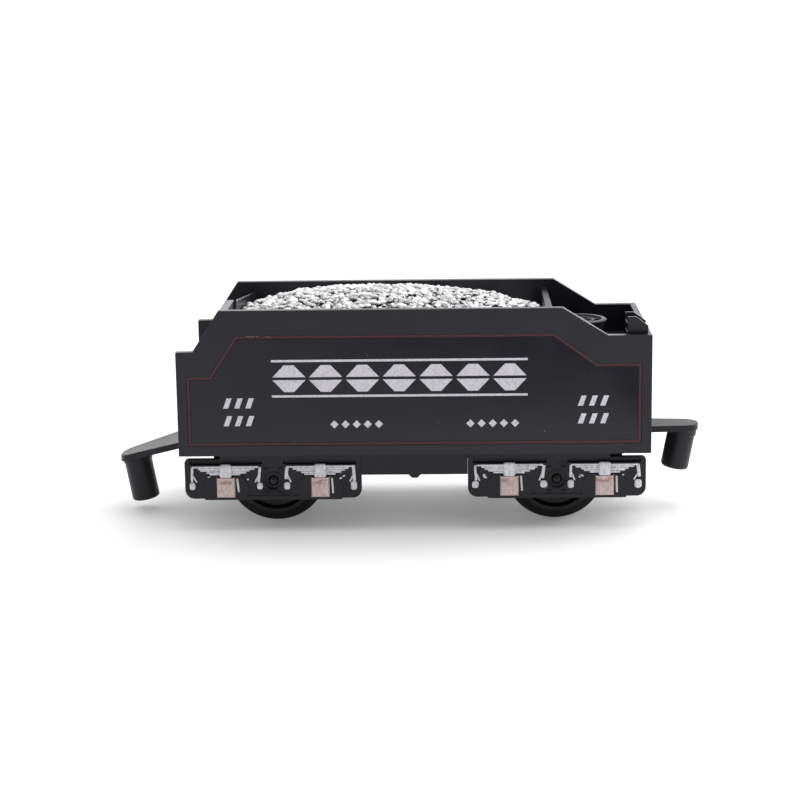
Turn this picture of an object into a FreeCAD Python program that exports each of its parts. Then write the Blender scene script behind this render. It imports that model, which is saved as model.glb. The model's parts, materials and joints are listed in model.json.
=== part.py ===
"""Toy railway tender: a coal bunker and water tank on two trucks, with a swinging peg drawbar at each end.

The frame: +X runs to the rear, +Y to the right-hand side, +Z up. The origin is at the middle of the whole
length, on the rail under the wheel flanges. Millimetres throughout.
"""

import FreeCAD
import Part
import Sketcher
import math
import os

# Driving dimensions: alias, value in millimetres (degrees for angles), meaning.
DIMENSIONS = [
    ("body_length", 115.0, "length of the body side"),
    ("body_width", 48.0, "width over the body sides"),
    ("front_overhang", 18.0, "front drawbar beyond the body"),
    ("rear_overhang", 14.0, "rear drawbar beyond the body"),
    ("body_bottom", 19.2, "lower edge of the body above the rail"),
    ("rim_top", 55.1, "top rim of the bunker sides"),
    ("front_shoulder", 45.0, "low step of the side at the front"),
    ("front_step", 4.05, "length of that step"),
    ("front_ramp_end", 10.7, "where the front ramp reaches the rim"),
    ("rear_ramp_start", 93.5, "where the rim starts down to the tank"),
    ("rear_step", 104.35, "where that ramp ends"),
    ("rear_shoulder", 48.3, "low rim round the water tank"),
    ("side_wall", 2.3, "thickness of the body sides"),
    ("end_wall", 1.5, "thickness of the end walls"),
    ("gate_thick", 2.0, "thickness of the bunker's front wall"),
    ("gate_top", 54.9, "its top edge at the left"),
    ("gate_low", 51.0, "its top edge where it is cut down"),
    ("gate_cut_left", 6.0, "where the cut starts, left of the middle"),
    ("gate_cut_slope", 3.0, "length of the cut's sloping end"),
    ("footplate", 36.5, "deck in front of the bunker"),
    ("deck_thick", 1.5, "thickness of the decks"),
    ("bunker_floor", 45.0, "floor under the coal"),
    ("tank_deck", 41.0, "top of the water tank"),
    ("bulkhead_at", 90.1, "front face of the bulkhead behind the coal"),
    ("bulkhead_thick", 1.6, "its thickness"),
    ("bulkhead_top", 52.8, "its top edge"),
    ("panel_end", 2.85, "side panel groove to the body's ends"),
    ("panel_bottom", 22.2, "lower run of the groove"),
    ("panel_top", 48.6, "upper run of the groove"),
    ("panel_front_shoulder", 38.6, "its front step"),
    ("panel_front_step", 8.2, "where the front step ends"),
    ("panel_front_ramp_end", 14.8, "where the front ramp ends"),
    ("panel_rear_ramp_start", 91.4, "where the rear ramp starts"),
    ("panel_rear_step", 101.8, "where the rear ramp ends"),
    ("panel_rear_shoulder", 41.1, "its rear step"),
    ("groove_width", 0.8, "width of the panel groove"),
    ("groove_depth", 0.25, "depth of the panel groove"),
    ("pivot_inset", 10.0, "drawbar pivots inside the end faces"),
    ("boss_radius", 3.2, "screw bosses under the deck"),
    ("boss_bottom", 21.9, "lower end of the bosses"),
    ("pilot_depth", 6.2, "screw hole in the boss"),
    ("screw_radius", 1.1, "body screws"),
    ("screw_hole", 1.25, "clearance hole for them"),
    ("screw_head_radius", 2.4, "pan head"),
    ("screw_head_height", 1.6, "pan head"),
    ("bush_radius", 2.0, "pivot bush round the screw"),
    ("eye_radius", 2.06, "hole in the drawbar that turns on the bush"),
    ("front_notch_half", 13.6, "half width of the front wall's notch"),
    ("front_notch_top", 21.7, "top of that notch"),
    ("rear_notch_half", 9.9, "half width of the rear wall's notch"),
    ("rear_notch_top", 21.9, "top of that notch"),
    ("bar_top", 21.5, "top of the drawbars at the pivot"),
    ("bar_thick", 1.6, "thickness of the drawbars"),
    ("pad_radius", 4.2, "round pad at the pivot"),
    ("pad_straight", 2.0, "how far the pad runs before it widens"),
    ("front_bend", 3.9, "pivot to the start of the front bar's slope"),
    ("front_tip_top", 14.4, "top of the front bar at its tip"),
    ("front_root_half", 9.2, "half width of the front bar at the wall"),
    ("rear_root_half", 5.0, "half width of the rear bar at the wall"),
    ("root_at", 9.0, "pivot to the widest place of a bar"),
    ("peg_radius", 3.5, "coupler pegs"),
    ("front_peg_lean", 10.0, "degrees, foot of the peg towards the car"),
    ("rear_peg_lean", 10.7, "degrees"),
    ("front_peg_length", 12.2, "front peg"),
    ("rear_peg_length", 11.0, "rear peg"),
    ("peg_end_round", 0.8, "rounded foot of the pegs"),
    ("collar_radius", 3.75, "collar at the root of a peg"),
    ("collar_length", 2.0, "its length from inside the bar"),
    ("axle_height", 12.5, "axle above the rail"),
    ("front_axle_x", -32.7, "front axle"),
    ("rear_axle_x", 36.7, "rear axle"),
    ("axle_radius", 1.2, "axles"),
    ("axle_half", 22.45, "half length of the axles"),
    ("axle_dome", 0.5, "height of their rounded ends"),
    ("axle_bore", 1.26, "bearing hole in the side frames"),
    ("axle_recess", 2.0, "recess round the axle's end"),
    ("axle_recess_depth", 0.8, "its depth"),
    ("flange_radius", 12.5, "wheel flange"),
    ("flange_edge", 12.0, "flange radius at its back face"),
    ("flange_root", 9.9, "flange radius where it meets the tread"),
    ("tread_radius", 10.1, "wheel tread at its inner end"),
    ("tread_outer", 9.8, "tread at its outer end"),
    ("rim_inner", 8.65, "inside of the wheel's rim"),
    ("hub_radius", 2.8, "wheel hub"),
    ("wheel_back", 11.2, "back face of the wheels from the middle"),
    ("flange_thick", 1.3, "flange"),
    ("web_back", 12.1, "back of the wheel's web"),
    ("web_front", 13.8, "front of the web"),
    ("wheel_face", 15.4, "outer face of the rim"),
    ("hub_face", 15.9, "outer face of the hub"),
    ("plate_thick", 1.6, "chassis plate"),
    ("plate_half", 21.0, "half width of the plate at the trucks"),
    ("plate_front", 8.2, "plate inside the body's front end"),
    ("plate_rear", 6.8, "plate inside the body's rear end"),
    ("tab_half", 4.5, "half width of the plate's end tabs"),
    ("skirt_half", 22.8, "half width over the middle skirts"),
    ("skirt_thick", 1.6, "thickness of the skirts"),
    ("frame_gap", 0.04, "skirts clear of the side frames"),
    ("skirt_bottom", 14.0, "lower edge of the skirts"),
    ("vee_half", 1.5, "half width of the V under the skirts"),
    ("vee_flat", 0.7, "half width of its flat"),
    ("vee_drop", 0.85, "depth of the V"),
    ("slot_half", 12.3, "half length of the wheel slots"),
    ("slot_inner", 10.4, "inner edge of the wheel slots"),
    ("slot_outer", 16.4, "outer edge of the wheel slots"),
    ("rib_thick", 1.2, "stiffening ribs"),
    ("rib_spread", 9.0, "ribs either side of the middle"),
    ("locator_height", 1.6, "ribs that locate the body on the chassis"),
    ("locator_gap", 0.2, "their clearance inside the walls"),
    ("frame_half", 21.7, "half length of a truck side frame"),
    ("frame_bottom", 8.2, "lower edge of the side frames"),
    ("frame_beam_top", 16.8, "floor of the slots over the springs"),
    ("frame_thick", 1.6, "thickness of the side frames"),
    ("frame_corner", 2.3, "round at their lower corners"),
    ("frame_top", 18.1, "top of a side frame at its outboard end"),
    ("frame_step", 13.0, "where its top rises to the body, outboard of the axle"),
    ("frame_top_corner", 0.9, "round at its outboard top corner"),
    ("slot_top", 17.8, "top of the slots over the springs"),
    ("slot_deep", 0.9, "depth of those slots"),
    ("end_bar", 1.3, "rim at the ends of those slots"),
    ("centre_pad", 2.55, "half width of the centre upright"),
    ("bearing_radius", 2.7, "bearing boss behind the frame"),
    ("bearing_inner", 16.3, "inner end of the bearing boss"),
    ("box_at", 11.6, "axle box from the middle of the truck"),
    ("box_half", 2.2, "half width of an axle box"),
    ("box_bottom", 8.7, "axle box"),
    ("box_top", 13.7, "axle box"),
    ("box_proud", 0.8, "axle box in front of the frame"),
    ("spring_half", 8.0, "half length of the top spring leaf"),
    ("spring_half_short", 4.5, "half length of the lowest leaf"),
    ("spring_bottom", 14.3, "under the lowest leaf"),
    ("spring_proud", 0.5, "springs in front of the frame"),
    ("coal_crest", 57.4, "top of the coal"),
    ("coal_crest_at", 50.0, "crest behind the body's front end"),
    ("coal_cross_radius", 42.0, "crown of the coal across the car"),
    ("coal_long_radius", 140.0, "crown of the coal along the car"),
    ("coal_gap", 0.1, "coal insert inside the walls"),
    ("hatch_at", 98.8, "filler hatch behind the body's front end"),
    ("hatch_radius", 6.9, "filler hatch's lid"),
    ("hatch_neck", 6.3, "the neck under it"),
    ("hatch_neck_height", 6.6, "the neck under it"),
    ("hatch_ring", 1.5, "the lid's rim"),
    ("hatch_ring_height", 7.5, "the lid's rim"),
    ("hatch_floor", 6.8, "sunken middle of the lid"),
    ("hatch_hub_radius", 1.6, "its middle"),
    ("hatch_hub_height", 7.4, "its middle"),
    ("rail_left", 20.6, "outer ladder rail left of the middle"),
    ("rail_right", 13.8, "inner ladder rail left of the middle"),
    ("rail_thick", 1.0, "ladder rails"),
    ("rail_inside", 5.75, "rails inside the rear face"),
    ("rail_level", 2.0, "level top of the rails"),
    ("rail_top", 52.3, "top of the rails"),
    ("rail_end_top", 50.1, "rails above the rear wall"),
    ("rail_end", 0.75, "rails end this far inside the rear face"),
    ("rung_first", 47.6, "lowest rung"),
    ("rung_pitch", 2.2, "rung spacing"),
    ("rung_height", 0.8, "height and depth of the rungs"),
]
RUNGS = 2

FRONT = "(0 - (dims.body_length + dims.rear_overhang - dims.front_overhang) / 2)"
REAR = f"({FRONT} + dims.body_length)"
MIDDLE = f"({FRONT} + dims.body_length / 2)"
FRONT_PIVOT = f"({FRONT} + dims.pivot_inset)"
REAR_PIVOT = f"({REAR} - dims.pivot_inset)"
INNER_WIDTH = "dims.body_width - 2 * dims.side_wall"
PLATE_BOTTOM = "(dims.body_bottom - dims.plate_thick)"

doc = FreeCAD.newDocument("tender")
sheet = doc.addObject("Spreadsheet::Sheet", "dims")
for row, (alias, value, meaning) in enumerate(DIMENSIONS, start=1):
    sheet.set(f"A{row}", str(value))
    sheet.setAlias(f"A{row}", alias)
    sheet.set(f"B{row}", meaning)
doc.recompute()


def along(cell):
    """Expression for a place that many millimetres behind the body's front end."""
    return f"{FRONT} + dims.{cell}"


def new_body(name):
    """A sub-part; its label is its node and file name."""
    body = doc.addObject("PartDesign::Body", name)
    body.Label = name
    return body


def new_sketch(body, role, offset=""):
    """Sketch on one of the body's own origin planes, moved along the plane's normal by an expression."""
    sketch = body.newObject("Sketcher::SketchObject", f"{body.Name}_sketch")
    plane = next(item for item in body.Origin.OriginFeatures if item.Role == role)
    sketch.AttachmentSupport = [(plane, "")]
    sketch.MapMode = "FlatFace"
    if offset:
        sketch.setExpression("AttachmentOffset.Base.z", offset)
    return sketch


def add_outline(sketch, corners):
    """Closed outline of straight lines. Each corner is a pair of expressions from the sketch's origin."""
    count = len(corners)
    first = sketch.GeometryCount
    turn = 2 * math.pi / count
    start = [FreeCAD.Vector(10 * math.cos(turn * i), 10 * math.sin(turn * i), 0) for i in range(count)]
    for i in range(count):
        sketch.addGeometry(Part.LineSegment(start[i], start[(i + 1) % count]), False)
    for i in range(count):
        after = first + (i + 1) % count
        sketch.addConstraint(Sketcher.Constraint("Coincident", first + i, 2, after, 1))
    for i, place in enumerate(corners):
        for kind, expression, value in zip(("DistanceX", "DistanceY"), place, start[i]):
            index = sketch.addConstraint(Sketcher.Constraint(kind, -1, 1, first + i, 1, value))
            sketch.setExpression(f"Constraints[{index}]", str(expression))


def outline(body, role, corners, offset=""):
    """Sketch that holds one closed outline."""
    sketch = new_sketch(body, role, offset)
    add_outline(sketch, corners)
    return sketch


def circle(body, role, centre, radius, offset=""):
    """Sketch that holds one circle; centre and radius are expressions."""
    sketch = new_sketch(body, role, offset)
    sketch.addGeometry(Part.Circle(FreeCAD.Vector(1, 1, 0), FreeCAD.Vector(0, 0, 1), 1), False)
    for kind, expression in zip(("DistanceX", "DistanceY"), centre):
        index = sketch.addConstraint(Sketcher.Constraint(kind, -1, 1, 0, 3, 1.0))
        sketch.setExpression(f"Constraints[{index}]", str(expression))
    index = sketch.addConstraint(Sketcher.Constraint("Radius", 0, 1.0))
    sketch.setExpression(f"Constraints[{index}]", radius)
    return sketch


def rectangle(low_x, high_x, low_y, high_y):
    """The four corners of a rectangle, from expressions."""
    return [(low_x, low_y), (high_x, low_y), (high_x, high_y), (low_x, high_y)]


def extrude(body, kind, sketch, length, both_ways=False, backwards=False):
    """Pad or Pocket of a sketch."""
    feature = body.newObject(f"PartDesign::{kind}", f"{body.Name}_{kind.lower()}")
    feature.Profile = sketch
    feature.setExpression("Length", length)
    feature.SideType = "Symmetric" if both_ways else "One side"
    feature.Reversed = backwards
    doc.recompute()
    return feature


def pad(body, sketch, length, **how):
    return extrude(body, "Pad", sketch, length, **how)


def pocket(body, sketch, length, **how):
    """Pocket that has to take something away, so its volume is compared."""
    before = body.Shape.Volume
    feature = extrude(body, "Pocket", sketch, length, **how)
    if body.Shape.Volume > before - 1e-3:
        raise RuntimeError(f"{feature.Name} cuts nothing")
    return feature


def revolve(body, sketch, axis):
    """Full turn of a sketch about one of its own axes, H_Axis or V_Axis."""
    feature = body.newObject("PartDesign::Revolution", f"{body.Name}_turned")
    feature.Profile = sketch
    feature.ReferenceAxis = (sketch, [axis])
    feature.Angle = 360
    doc.recompute()
    return feature


def fillet(body, radius, wanted):
    """Rounds every edge of the body so far that the test wanted(edge) picks."""
    base = body.Tip
    names = [f"Edge{i}" for i, edge in enumerate(base.Shape.Edges, start=1) if wanted(edge)]
    feature = body.newObject("PartDesign::Fillet", f"{body.Name}_round")
    feature.Base = (base, names)
    feature.setExpression("Radius", radius)
    doc.recompute()
    return feature


def place(body, x="0", y="0", z="0", turned=False):
    """Puts a body at a place, turned half round about Z if asked."""
    half_turn = FreeCAD.Rotation(FreeCAD.Vector(0, 0, 1), 180 if turned else 0)
    body.Placement = FreeCAD.Placement(FreeCAD.Vector(0, 0, 0), half_turn)
    for axis, expression in zip("xyz", (x, y, z)):
        body.setExpression(f"Placement.Base.{axis}", expression)
    doc.recompute()
    return body


def value(alias):
    return float(sheet.get(alias))


def panel_outline(grow):
    """The side panel's outline, moved outwards by an expression with mitred corners."""
    front_mitre = (
        "tan(atan((dims.panel_top - dims.panel_front_shoulder)"
        " / (dims.panel_front_ramp_end - dims.panel_front_step)) / 2)"
    )
    rear_mitre = (
        "tan(atan((dims.panel_top - dims.panel_rear_shoulder)"
        " / (dims.panel_rear_step - dims.panel_rear_ramp_start)) / 2)"
    )
    front = f"{FRONT} + dims.panel_end - {grow}"
    rear = f"{REAR} - dims.panel_end + {grow}"
    return [
        (front, f"dims.panel_bottom - {grow}"),
        (front, f"dims.panel_front_shoulder + {grow}"),
        (f"{along('panel_front_step')} - {grow} * {front_mitre}", f"dims.panel_front_shoulder + {grow}"),
        (f"{along('panel_front_ramp_end')} - {grow} * {front_mitre}", f"dims.panel_top + {grow}"),
        (f"{along('panel_rear_ramp_start')} + {grow} * {rear_mitre}", f"dims.panel_top + {grow}"),
        (f"{along('panel_rear_step')} + {grow} * {rear_mitre}", f"dims.panel_rear_shoulder + {grow}"),
        (rear, f"dims.panel_rear_shoulder + {grow}"),
        (rear, f"dims.panel_bottom - {grow}"),
    ]


def make_body_shell():
    """One moulding: two sides, end walls, decks, two cross walls and the screw bosses."""
    body = new_body("body_shell")
    above = "dims.rim_top + 5"
    inner_front = f"{FRONT} + dims.end_wall"
    inner_rear = f"{REAR} - dims.end_wall"
    wall_back = f"{along('front_ramp_end')} + dims.gate_thick"
    bulkhead_back = f"{along('bulkhead_at')} + dims.bulkhead_thick"
    side = [
        (FRONT, "dims.body_bottom"),
        (FRONT, "dims.front_shoulder"),
        (along("front_step"), "dims.front_shoulder"),
        (along("front_ramp_end"), "dims.rim_top"),
        (along("rear_ramp_start"), "dims.rim_top"),
        (along("rear_step"), "dims.rear_shoulder"),
        (REAR, "dims.rear_shoulder"),
        (REAR, "dims.body_bottom"),
    ]
    pad(body, outline(body, "XZ_Plane", side), "dims.body_width", both_ways=True)
    hollow = [
        (inner_front, "dims.body_bottom - 1"),
        (inner_front, "dims.footplate - dims.deck_thick"),
        (wall_back, "dims.footplate - dims.deck_thick"),
        (wall_back, "dims.bunker_floor - dims.deck_thick"),
        (along("bulkhead_at"), "dims.bunker_floor - dims.deck_thick"),
        (bulkhead_back, "dims.tank_deck - dims.deck_thick"),
        (inner_rear, "dims.tank_deck - dims.deck_thick"),
        (inner_rear, "dims.body_bottom - 1"),
    ]
    pocket(body, outline(body, "XZ_Plane", hollow), INNER_WIDTH, both_ways=True)
    openings = [
        (f"{FRONT} - 1", along("front_ramp_end"), "dims.footplate"),
        (wall_back, along("bulkhead_at"), "dims.bunker_floor"),
        (bulkhead_back, inner_rear, "dims.tank_deck"),
        (f"{along('bulkhead_at')} - 1", f"{bulkhead_back} + 1", "dims.bulkhead_top"),
        (f"{along('front_ramp_end')} - 1", f"{wall_back} + 1", "dims.gate_top"),
    ]
    for low_x, high_x, floor in openings:
        corners = rectangle(low_x, high_x, floor, above)
        pocket(body, outline(body, "XZ_Plane", corners), INNER_WIDTH, both_ways=True)
    inner_half = f"({INNER_WIDTH}) / 2"
    cut = [
        ("0 - dims.gate_cut_left", above),
        ("0 - dims.gate_cut_left", "dims.gate_top"),
        ("dims.gate_cut_slope - dims.gate_cut_left", "dims.gate_low"),
        (inner_half, "dims.gate_low"),
        (inner_half, above),
    ]
    gate_cut = outline(body, "YZ_Plane", cut, wall_back + " + 1")
    pocket(body, gate_cut, "dims.gate_thick + 2")
    notches = [
        (FRONT, inner_front, "dims.front_notch_half", "dims.front_notch_top"),
        (inner_rear, REAR, "dims.rear_notch_half", "dims.rear_notch_top"),
    ]
    for low_x, high_x, half, top in notches:
        corners = rectangle(f"{low_x} - 0.5", f"{high_x} + 0.5", "dims.body_bottom - 1", top)
        pocket(body, outline(body, "XZ_Plane", corners), f"2 * {half}", both_ways=True)
    for pivot, deck in ((FRONT_PIVOT, "dims.footplate"), (REAR_PIVOT, "dims.tank_deck")):
        boss_length = f"{deck} - dims.deck_thick / 2 - dims.boss_bottom"
        boss = circle(body, "XY_Plane", (pivot, "0"), "dims.boss_radius", "dims.boss_bottom")
        pad(body, boss, boss_length)
        pilot = circle(body, "XY_Plane", (pivot, "0"), "dims.screw_radius", "dims.boss_bottom")
        pocket(body, pilot, "dims.pilot_depth", backwards=True)
    half_groove = "dims.groove_width / 2"
    for side_sign, backwards in ((1, False), (-1, True)):
        face = f"{side_sign} * dims.body_width / 2"
        floor = f"{side_sign} * (dims.body_width / 2 - dims.groove_depth)"
        outer = outline(body, "XZ_Plane", panel_outline(half_groove), face)
        pocket(body, outer, "dims.groove_depth", backwards=backwards)
        inner = outline(body, "XZ_Plane", panel_outline(f"(0 - {half_groove})"), floor)
        pad(body, inner, "dims.groove_depth", backwards=backwards)
    return body


def make_coal_load():
    """Insert crowned along and across: the part that a box and two lying cylinders share."""
    block = doc.addObject("Part::Box", "coal_block")
    room = "dims.bulkhead_at - dims.front_ramp_end - dims.gate_thick"
    block.setExpression("Length", f"{room} - 2 * dims.coal_gap")
    block.setExpression("Width", f"{INNER_WIDTH} - 2 * dims.coal_gap")
    block.setExpression("Height", "dims.coal_crest - dims.bunker_floor + 2")
    start = f"{along('front_ramp_end')} + dims.gate_thick + dims.coal_gap"
    block.setExpression("Placement.Base.x", start)
    block.setExpression("Placement.Base.y", f"0 - ({INNER_WIDTH}) / 2 + dims.coal_gap")
    block.setExpression("Placement.Base.z", "dims.bunker_floor")
    across = doc.addObject("Part::Cylinder", "coal_crown_across")
    across.Placement.Rotation = FreeCAD.Rotation(FreeCAD.Vector(0, 1, 0), 90)
    across.setExpression("Radius", "dims.coal_cross_radius")
    across.setExpression("Height", "dims.body_length")
    across.setExpression("Placement.Base.x", FRONT)
    across.setExpression("Placement.Base.z", "dims.coal_crest - dims.coal_cross_radius")
    lengthwise = doc.addObject("Part::Cylinder", "coal_crown_along")
    lengthwise.Placement.Rotation = FreeCAD.Rotation(FreeCAD.Vector(1, 0, 0), 90)
    lengthwise.setExpression("Radius", "dims.coal_long_radius")
    lengthwise.setExpression("Height", "dims.body_width")
    lengthwise.setExpression("Placement.Base.x", along("coal_crest_at"))
    lengthwise.setExpression("Placement.Base.y", "dims.body_width / 2")
    lengthwise.setExpression("Placement.Base.z", "dims.coal_crest - dims.coal_long_radius")
    load = doc.addObject("Part::MultiCommon", "coal_load")
    load.Shapes = [block, across, lengthwise]
    load.Label = "coal_load"
    return load


def make_filler_hatch():
    """Filler on the tank deck: a neck under a wider lid with a rim, a sunken floor and a raised middle."""
    body = new_body("filler_hatch")
    ring_inner = "dims.hatch_radius - dims.hatch_ring"
    section = [
        ("0", "0"),
        ("dims.hatch_neck", "0"),
        ("dims.hatch_neck", "dims.hatch_neck_height"),
        ("dims.hatch_radius", "dims.hatch_neck_height"),
        ("dims.hatch_radius", "dims.hatch_ring_height"),
        (ring_inner, "dims.hatch_ring_height"),
        (ring_inner, "dims.hatch_floor"),
        ("dims.hatch_hub_radius", "dims.hatch_floor"),
        ("dims.hatch_hub_radius", "dims.hatch_hub_height"),
        ("0", "dims.hatch_hub_height"),
    ]
    revolve(body, outline(body, "XZ_Plane", section), "V_Axis")
    return place(body, x=along("hatch_at"), z="dims.tank_deck")


def make_rear_ladder():
    """Top of a ladder: two rails on the tank deck and the rear wall, joined by rungs."""
    body = new_body("rear_ladder")
    foot = f"{REAR} - dims.rail_inside"
    end = f"{REAR} - dims.rail_end"
    rail = [
        (foot, "dims.tank_deck"),
        (foot, "dims.rail_top"),
        (f"{foot} + dims.rail_level", "dims.rail_top"),
        (end, "dims.rail_end_top"),
        (end, "dims.rear_shoulder"),
        (f"{REAR} - dims.end_wall", "dims.rear_shoulder"),
        (f"{REAR} - dims.end_wall", "dims.tank_deck"),
    ]
    levels = [f"dims.rung_first + {step} * dims.rung_pitch" for step in range(RUNGS)]
    deep = f"{foot} + dims.rung_height"
    rungs = [rectangle(foot, deep, low, f"{low} + dims.rung_height") for low in levels]
    inner_face = "dims.rail_right - dims.rail_thick / 2"
    width = "dims.rail_left - dims.rail_right + dims.rail_thick"
    pad(body, outline(body, "XZ_Plane", rungs[0], inner_face), width)
    for offset in (inner_face, "dims.rail_left - dims.rail_thick / 2"):
        pad(body, outline(body, "XZ_Plane", rail, offset), "dims.rail_thick")
    for rung in rungs[1:]:
        pad(body, outline(body, "XZ_Plane", rung, inner_face), width)
    return body


def make_chassis():
    """Flat plate with wheel slots, skirts between the trucks, cross ribs and locating ribs."""
    body = new_body("chassis")
    front = f"{FRONT} + dims.plate_front"
    rear = f"{REAR} - dims.plate_rear"
    skirt_front = "dims.front_axle_x + dims.frame_half + dims.frame_gap"
    skirt_rear = "dims.rear_axle_x - dims.frame_half - dims.frame_gap"
    tab_front = f"{FRONT_PIVOT} - dims.tab_half"
    tab_rear = f"{REAR_PIVOT} + dims.tab_half"
    left_half = [
        (tab_front, "0 - dims.tab_half"),
        (front, "0 - dims.tab_half"),
        (front, "0 - dims.plate_half"),
        (skirt_front, "0 - dims.plate_half"),
        (skirt_front, "0 - dims.skirt_half"),
        (skirt_rear, "0 - dims.skirt_half"),
        (skirt_rear, "0 - dims.plate_half"),
        (rear, "0 - dims.plate_half"),
        (rear, "0 - dims.tab_half"),
        (tab_rear, "0 - dims.tab_half"),
    ]
    right_half = [(x, y.replace("0 - ", "")) for x, y in reversed(left_half)]
    pad(body, outline(body, "XY_Plane", left_half + right_half, PLATE_BOTTOM), "dims.plate_thick")
    skirt = [
        (skirt_front, "dims.skirt_bottom"),
        (f"{MIDDLE} - dims.vee_half", "dims.skirt_bottom"),
        (f"{MIDDLE} - dims.vee_flat", "dims.skirt_bottom - dims.vee_drop"),
        (f"{MIDDLE} + dims.vee_flat", "dims.skirt_bottom - dims.vee_drop"),
        (f"{MIDDLE} + dims.vee_half", "dims.skirt_bottom"),
        (skirt_rear, "dims.skirt_bottom"),
        (skirt_rear, "dims.body_bottom"),
        (skirt_front, "dims.body_bottom"),
    ]
    for offset in ("dims.skirt_half - dims.skirt_thick", "0 - dims.skirt_half"):
        pad(body, outline(body, "XZ_Plane", skirt, offset), "dims.skirt_thick")
    for side in (-1, 1):
        start = f"{MIDDLE} + {side} * dims.rib_spread"
        corners = rectangle(start, f"{start} + dims.rib_thick", "dims.skirt_bottom + 1", "dims.body_bottom")
        across = "2 * (dims.skirt_half - dims.skirt_thick / 2)"
        pad(body, outline(body, "XZ_Plane", corners), across, both_ways=True)
        outer = f"({INNER_WIDTH}) / 2 - dims.locator_gap"
        edges = (f"{side} * ({outer})", f"{side} * ({outer} - dims.rib_thick)")
        locator = rectangle(f"{MIDDLE} - dims.rib_spread", f"{MIDDLE} + dims.rib_spread", *edges)
        pad(body, outline(body, "XY_Plane", locator, "dims.body_bottom - 0.2"), "dims.locator_height + 0.2")
    for axle in ("dims.front_axle_x", "dims.rear_axle_x"):
        for side in (-1, 1):
            edges = (f"{side} * dims.slot_inner", f"{side} * dims.slot_outer")
            slot = rectangle(f"{axle} - dims.slot_half", f"{axle} + dims.slot_half", *edges)
            pocket(body, outline(body, "XY_Plane", slot, "dims.body_bottom"), "dims.plate_thick")
    for pivot in (FRONT_PIVOT, REAR_PIVOT):
        hole = circle(body, "XY_Plane", (pivot, "0"), "dims.screw_hole", "dims.body_bottom")
        pocket(body, hole, "dims.plate_thick")
    return body


def make_side_frame(name, axle, inboard, turned):
    """Truck side: a beam with two axle boxes under leaf springs and a bearing for the real axle.

    It is drawn for the left side about the axle; inboard is the sign of the end with the upright."""
    body = new_body(name)
    face = "dims.plate_half + dims.frame_thick"

    def across(distance):
        return f"{inboard} * ({distance})"

    lift = "dims.axle_height"
    beam = [
        (across("0 - dims.frame_half"), f"dims.frame_bottom - {lift}"),
        (across("dims.frame_half"), f"dims.frame_bottom - {lift}"),
        (across("dims.frame_half"), f"dims.body_bottom - {lift}"),
        (across("0 - dims.frame_step"), f"dims.body_bottom - {lift}"),
        (across("0 - dims.frame_step"), f"dims.frame_top - {lift}"),
        (across("0 - dims.frame_half"), f"dims.frame_top - {lift}"),
    ]
    pad(body, outline(body, "XZ_Plane", beam, "dims.plate_half"), "dims.frame_thick")
    half = value("frame_half")

    def end_corner(level, wanted_ends):
        height = value(level) - value("axle_height")

        def wanted(edge):
            middle = edge.BoundBox.Center
            at_end = any(abs(middle.x - sign * inboard * half) < 1e-3 for sign in wanted_ends)
            return at_end and abs(middle.z - height) < 1e-3 and edge.BoundBox.YLength > 1

        return wanted

    fillet(body, "dims.frame_corner", end_corner("frame_bottom", (-1, 1)))
    fillet(body, "dims.frame_top_corner", end_corner("frame_top", (-1,)))
    for side in (-1, 1):
        slot = rectangle(
            f"{side} * dims.centre_pad",
            f"{side} * (dims.frame_half - dims.end_bar)",
            f"dims.frame_beam_top - {lift}",
            f"dims.slot_top - {lift}",
        )
        pocket(body, outline(body, "XZ_Plane", slot, face), "dims.slot_deep")
    for side in (-1, 1):
        centre = f"{side} * dims.box_at"
        axle_box = rectangle(
            f"{centre} - dims.box_half",
            f"{centre} + dims.box_half",
            f"dims.box_bottom - {lift}",
            f"dims.box_top - {lift}",
        )
        pad(body, outline(body, "XZ_Plane", axle_box, face), "dims.box_proud")
        spring = [
            (f"{centre} - dims.spring_half_short", f"dims.spring_bottom - {lift}"),
            (f"{centre} + dims.spring_half_short", f"dims.spring_bottom - {lift}"),
            (f"{centre} + dims.spring_half", f"dims.frame_beam_top - {lift}"),
            (f"{centre} - dims.spring_half", f"dims.frame_beam_top - {lift}"),
        ]
        pad(body, outline(body, "XZ_Plane", spring, face), "dims.spring_proud")
    boss = circle(body, "XZ_Plane", ("0", "0"), "dims.bearing_radius", "dims.bearing_inner")
    pad(body, boss, "dims.plate_half + 0.5 - dims.bearing_inner")
    recess = circle(body, "XZ_Plane", ("0", "0"), "dims.axle_recess", face)
    pocket(body, recess, "dims.axle_recess_depth")
    bore = circle(body, "XZ_Plane", ("0", "0"), "dims.axle_bore", face)
    pocket(body, bore, "dims.plate_half + dims.frame_thick - dims.bearing_inner + 1")
    return place(body, x=axle, z="dims.axle_height", turned=turned)


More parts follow.
